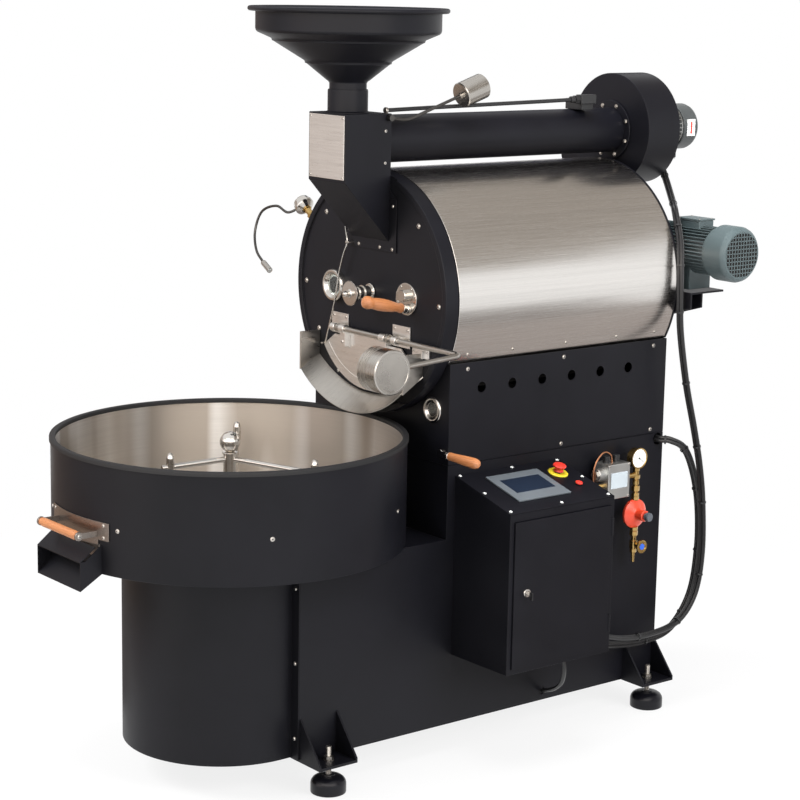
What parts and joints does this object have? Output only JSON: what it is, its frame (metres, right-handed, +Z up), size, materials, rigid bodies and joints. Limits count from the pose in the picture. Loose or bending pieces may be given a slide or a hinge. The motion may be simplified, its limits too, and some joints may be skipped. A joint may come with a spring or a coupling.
{
  "type": "coffee roaster",
  "caption": "Gas-fired drum coffee roaster for a shop: steel-jacketed drum, feed hopper, discharge door, stirred cooling tray, exhaust fan and control cabinet.",
  "frame": {"origin": "middle of the machine's footprint, on the floor", "axes": "+Z up, -Y out of the front where the operator stands, +X towards the control cabinet"},
  "size_m": [1.105, 2.3056, 2.132],
  "materials": {
    "black_paint": "satin black powder coat",
    "brushed_steel": "brushed stainless steel",
    "polished_steel": "polished stainless steel",
    "black_rubber": "black rubber and cable jacket",
    "turned_wood": "oiled turned wood",
    "grey_casting": "grey painted casting",
    "silver_casting": "bare die-cast aluminium",
    "brass": "brass fittings",
    "red_paint": "glossy red",
    "clear_glass": "clear heat-resistant glass",
    "screen_plastic": "grey moulded plastic",
    "cast_iron": "dark heat-tinted iron"
  },
  "bodies": {
    "machine": {"base_frame": "black_paint", "front_right_foot": "black_paint", "rear_right_foot": "black_paint", "front_left_foot": "black_paint", "rear_left_foot": "black_paint", "base_housing": "black_paint", "upper_housing": "black_paint", "column_cover": "black_paint", "burner": "cast_iron", "drum_jacket": "brushed_steel", "face_plate": "black_paint", "bearing_housing": "polished_steel", "sight_ring": "polished_steel", "sight_glass": "clear_glass", "sampler_port": "polished_steel", "hinge_bracket_left": "brushed_steel", "hinge_bracket_right": "brushed_steel", "discharge_chute": "brushed_steel", "hopper_funnel": "black_paint", "neck_box": "black_paint", "exhaust_pipe": "black_paint", "fan_housing": "black_paint", "fan_motor": "grey_casting", "sensor_conduit": "black_rubber", "drum_gearbox": "grey_casting", "drum_motor": "grey_casting", "motor_bracket": "black_paint", "tray_shell": "black_paint", "tray_liner": "brushed_steel", "rim_trim": "black_rubber", "stirrer_gearmotor": "grey_casting", "cabinet_body": "black_paint", "control_panel": "black_paint", "touch_screen": "screen_plastic", "gas_valve": "silver_casting", "pressure_gauge": "brass", "gas_regulator": "red_paint", "gas_cock": "brass", "fan_lead": "black_rubber", "burner_lead": "black_rubber", "cabinet_lead": "black_rubber"},
    "drum": {"roasting_drum": "cast_iron"},
    "fan": {"fan_impeller": "silver_casting"},
    "stirrer": {"stirrer": "polished_steel"},
    "door": {"discharge_door": "brushed_steel", "door_lever": "brushed_steel"},
    "gate": {"hopper_gate": "brushed_steel"},
    "sampler": {"trier": "polished_steel", "trier_handle": "turned_wood"},
    "lamp": {"work_lamp": "polished_steel"},
    "air_control": {"air_lever": "polished_steel", "air_lever_handle": "turned_wood"},
    "tray_slide": {"tray_gate": "brushed_steel", "gate_grip": "turned_wood"},
    "cabinet_leaf": {"cabinet_door": "black_paint"},
    "lock": {"door_lock": "polished_steel"},
    "stop": {"emergency_stop": "red_paint"},
    "start": {"start_button": "red_paint"},
    "cock_wheel": {"gas_handwheel": "brass"},
    "pressure_knob": {"regulator_knob": "screen_plastic"}
  },
  "joints": [
    {"name": "drum_spin", "type": "hinge", "parent": "machine", "child": "drum", "pos_m": [-0.02429, 0.32854, 1.3216], "axis": [0, -1, 0], "continuous": true},
    {"name": "fan_spin", "type": "hinge", "parent": "machine", "child": "fan", "pos_m": [-0.02429, 0.89854, 1.764], "axis": [0, 1, 0], "continuous": true},
    {"name": "stirrer_spin", "type": "hinge", "parent": "machine", "child": "stirrer", "pos_m": [-0.02429, -0.59896, 0.8], "axis": [0, 0, 1], "continuous": true},
    {"name": "door_swing", "type": "hinge", "parent": "machine", "child": "door", "pos_m": [-0.02429, -0.13646, 1.201], "axis": [-1, 0, 0], "range_deg": [0, 60]},
    {"name": "gate_tilt", "type": "hinge", "parent": "machine", "child": "gate", "pos_m": [-0.02429, -0.12346, 1.827], "axis": [1, 0, 0], "range_deg": [0, 25]},
    {"name": "trier_slide", "type": "slide", "parent": "machine", "child": "sampler", "axis": [0, -0.9781, 0.2079], "range_m": [0, 0.22]},
    {"name": "lamp_swivel", "type": "hinge", "parent": "machine", "child": "lamp", "pos_m": [-0.32111, -0.10196, 1.50707], "axis": [-0.848, 0, 0.5299], "range_deg": [-30, 45]},
    {"name": "air_lever_turn", "type": "hinge", "parent": "machine", "child": "air_control", "pos_m": [0.27971, -0.08546, 0.893], "axis": [0, 1, 0], "range_deg": [0, 60]},
    {"name": "tray_gate_lift", "type": "slide", "parent": "machine", "child": "tray_slide", "axis": [0, 0, 1], "range_m": [0, 0.045]},
    {"name": "cabinet_door_swing", "type": "hinge", "parent": "machine", "child": "cabinet_leaf", "pos_m": [0.54251, 0.34554, 0.52], "axis": [0, 0, 1], "range_deg": [0, 110]},
    {"name": "lock_turn", "type": "hinge", "parent": "cabinet_leaf", "child": "lock", "pos_m": [0.53771, 0.02004, 0.5335], "axis": [1, 0, 0], "range_deg": [0, 90]},
    {"name": "stop_press", "type": "slide", "parent": "machine", "child": "stop", "axis": [-0.257, 0, -0.9664], "range_m": [0, 0.005]},
    {"name": "start_press", "type": "slide", "parent": "machine", "child": "start", "axis": [-0.257, 0, -0.9664], "range_m": [0, 0.003], "stiffness_N_per_m": 400, "springref_m": -0.002},
    {"name": "cock_wheel_turn", "type": "hinge", "parent": "machine", "child": "cock_wheel", "pos_m": [0.37071, 0.63354, 0.533], "axis": [1, 0, 0], "range_deg": [0, 720]},
    {"name": "pressure_knob_turn", "type": "hinge", "parent": "machine", "child": "pressure_knob", "pos_m": [0.38771, 0.63354, 0.63], "axis": [1, 0, 0], "range_deg": [0, 720]}
  ]
}
